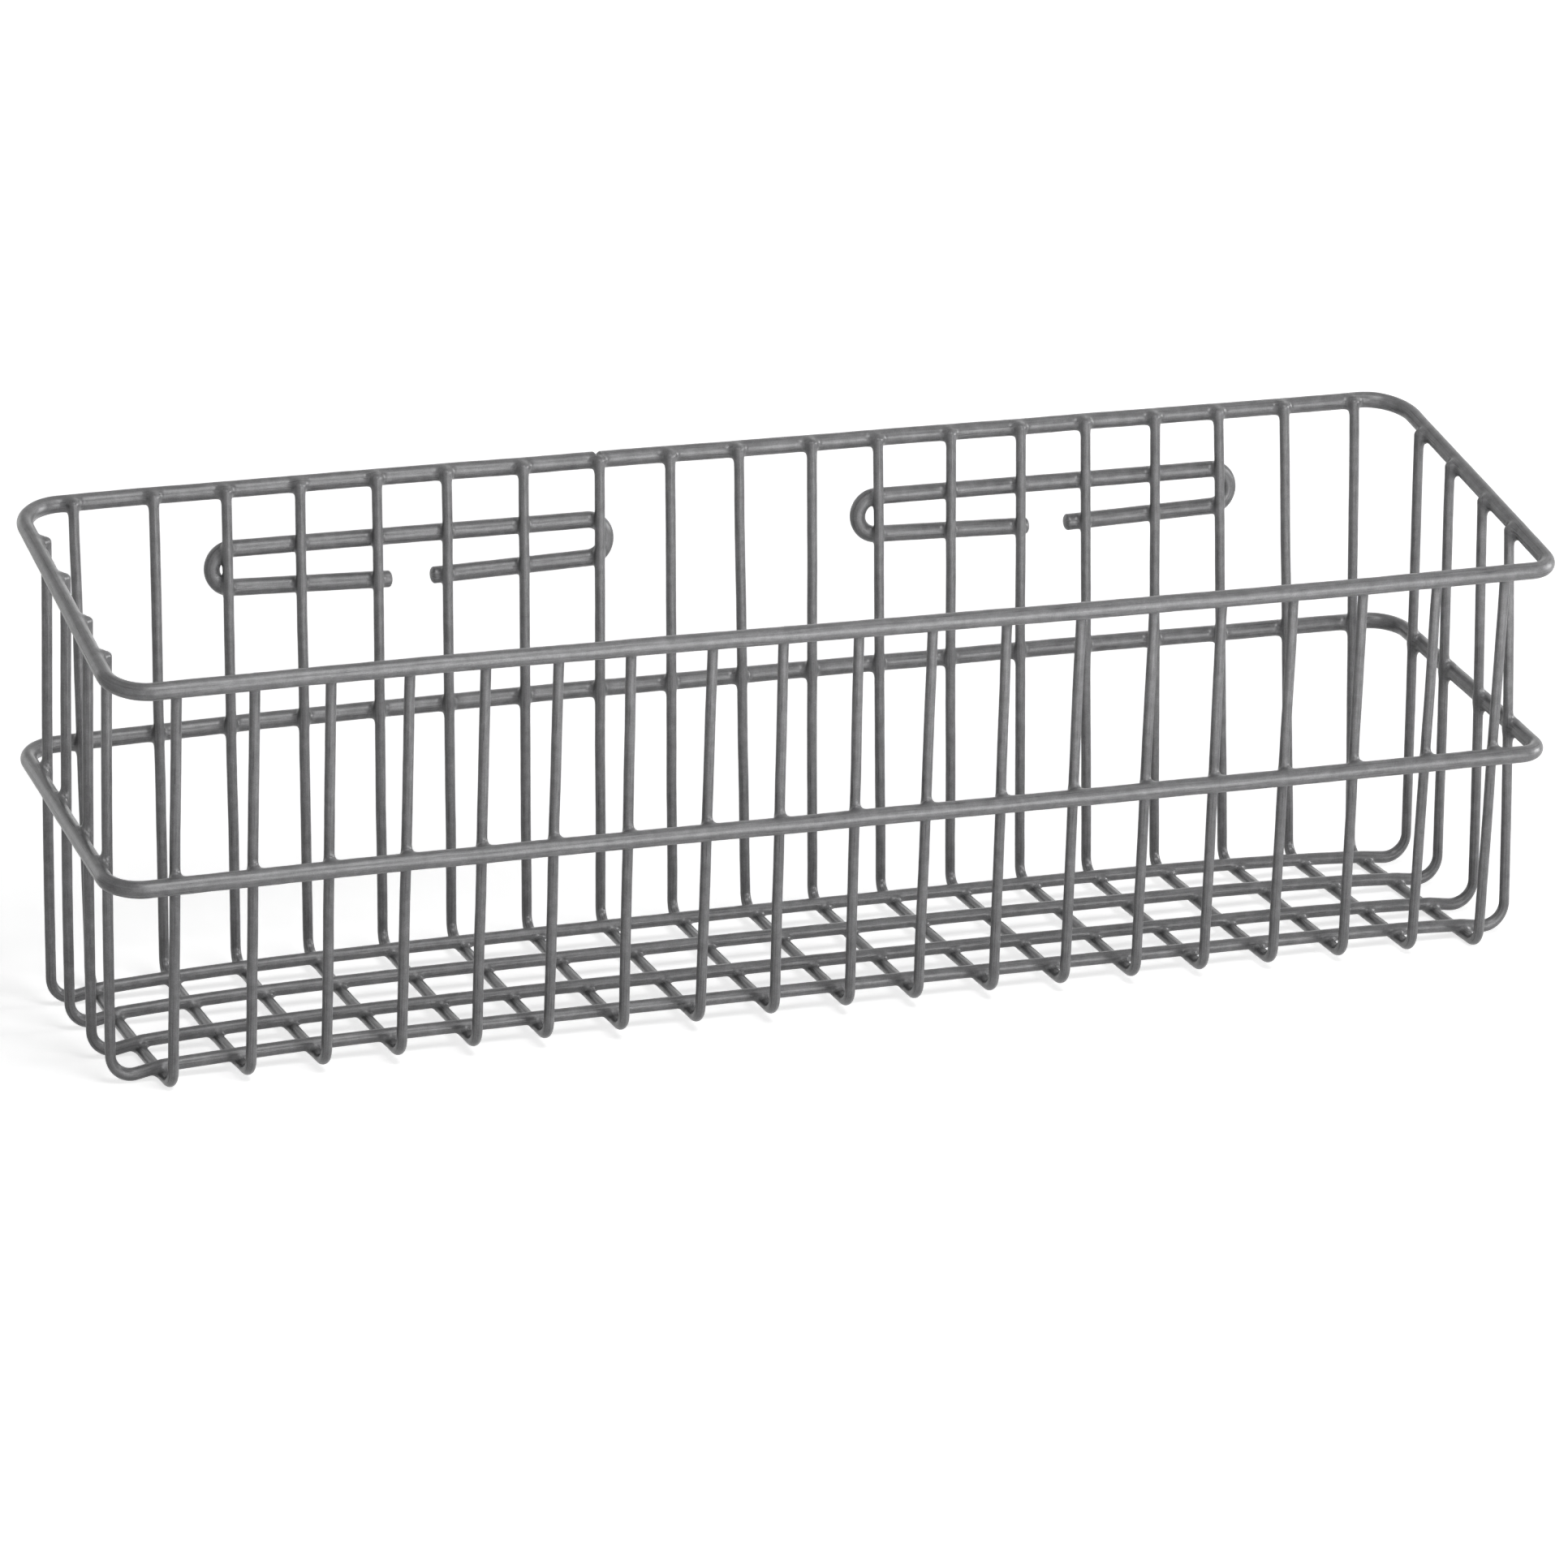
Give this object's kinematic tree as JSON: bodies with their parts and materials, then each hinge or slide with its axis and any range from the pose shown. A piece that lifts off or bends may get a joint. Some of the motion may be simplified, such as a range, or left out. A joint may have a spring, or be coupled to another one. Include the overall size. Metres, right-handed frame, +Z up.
{
  "type": "wire storage basket",
  "caption": "Long open-topped wire basket with a sloping mouth, wrapped by heavy rims and hung from slotted wire loops on its back.",
  "frame": {"origin": "on the surface it stands on, under the middle of the floor", "axes": "+X along the basket to the right as seen from the front, +Y to the back where it hangs on the wall, +Z up"},
  "size_m": [0.5028, 0.133, 0.1673],
  "materials": {
    "coated_wire": "satin grey baked coating over welded steel wire"
  },
  "bodies": {
    "root": {"cross_wire_01": "coated_wire", "cross_wire_02": "coated_wire", "cross_wire_03": "coated_wire", "cross_wire_04": "coated_wire", "cross_wire_05": "coated_wire", "cross_wire_06": "coated_wire", "cross_wire_07": "coated_wire", "cross_wire_08": "coated_wire", "cross_wire_09": "coated_wire", "cross_wire_10": "coated_wire", "cross_wire_11": "coated_wire", "cross_wire_12": "coated_wire", "cross_wire_13": "coated_wire", "cross_wire_14": "coated_wire", "cross_wire_15": "coated_wire", "cross_wire_16": "coated_wire", "cross_wire_17": "coated_wire", "cross_wire_18": "coated_wire", "cross_wire_19": "coated_wire", "long_wire_1": "coated_wire", "long_wire_2": "coated_wire", "long_wire_3": "coated_wire", "long_wire_4": "coated_wire", "top_rim": "coated_wire", "middle_rim": "coated_wire", "left_hanger": "coated_wire", "right_hanger": "coated_wire"}
  },
  "joints": []
}
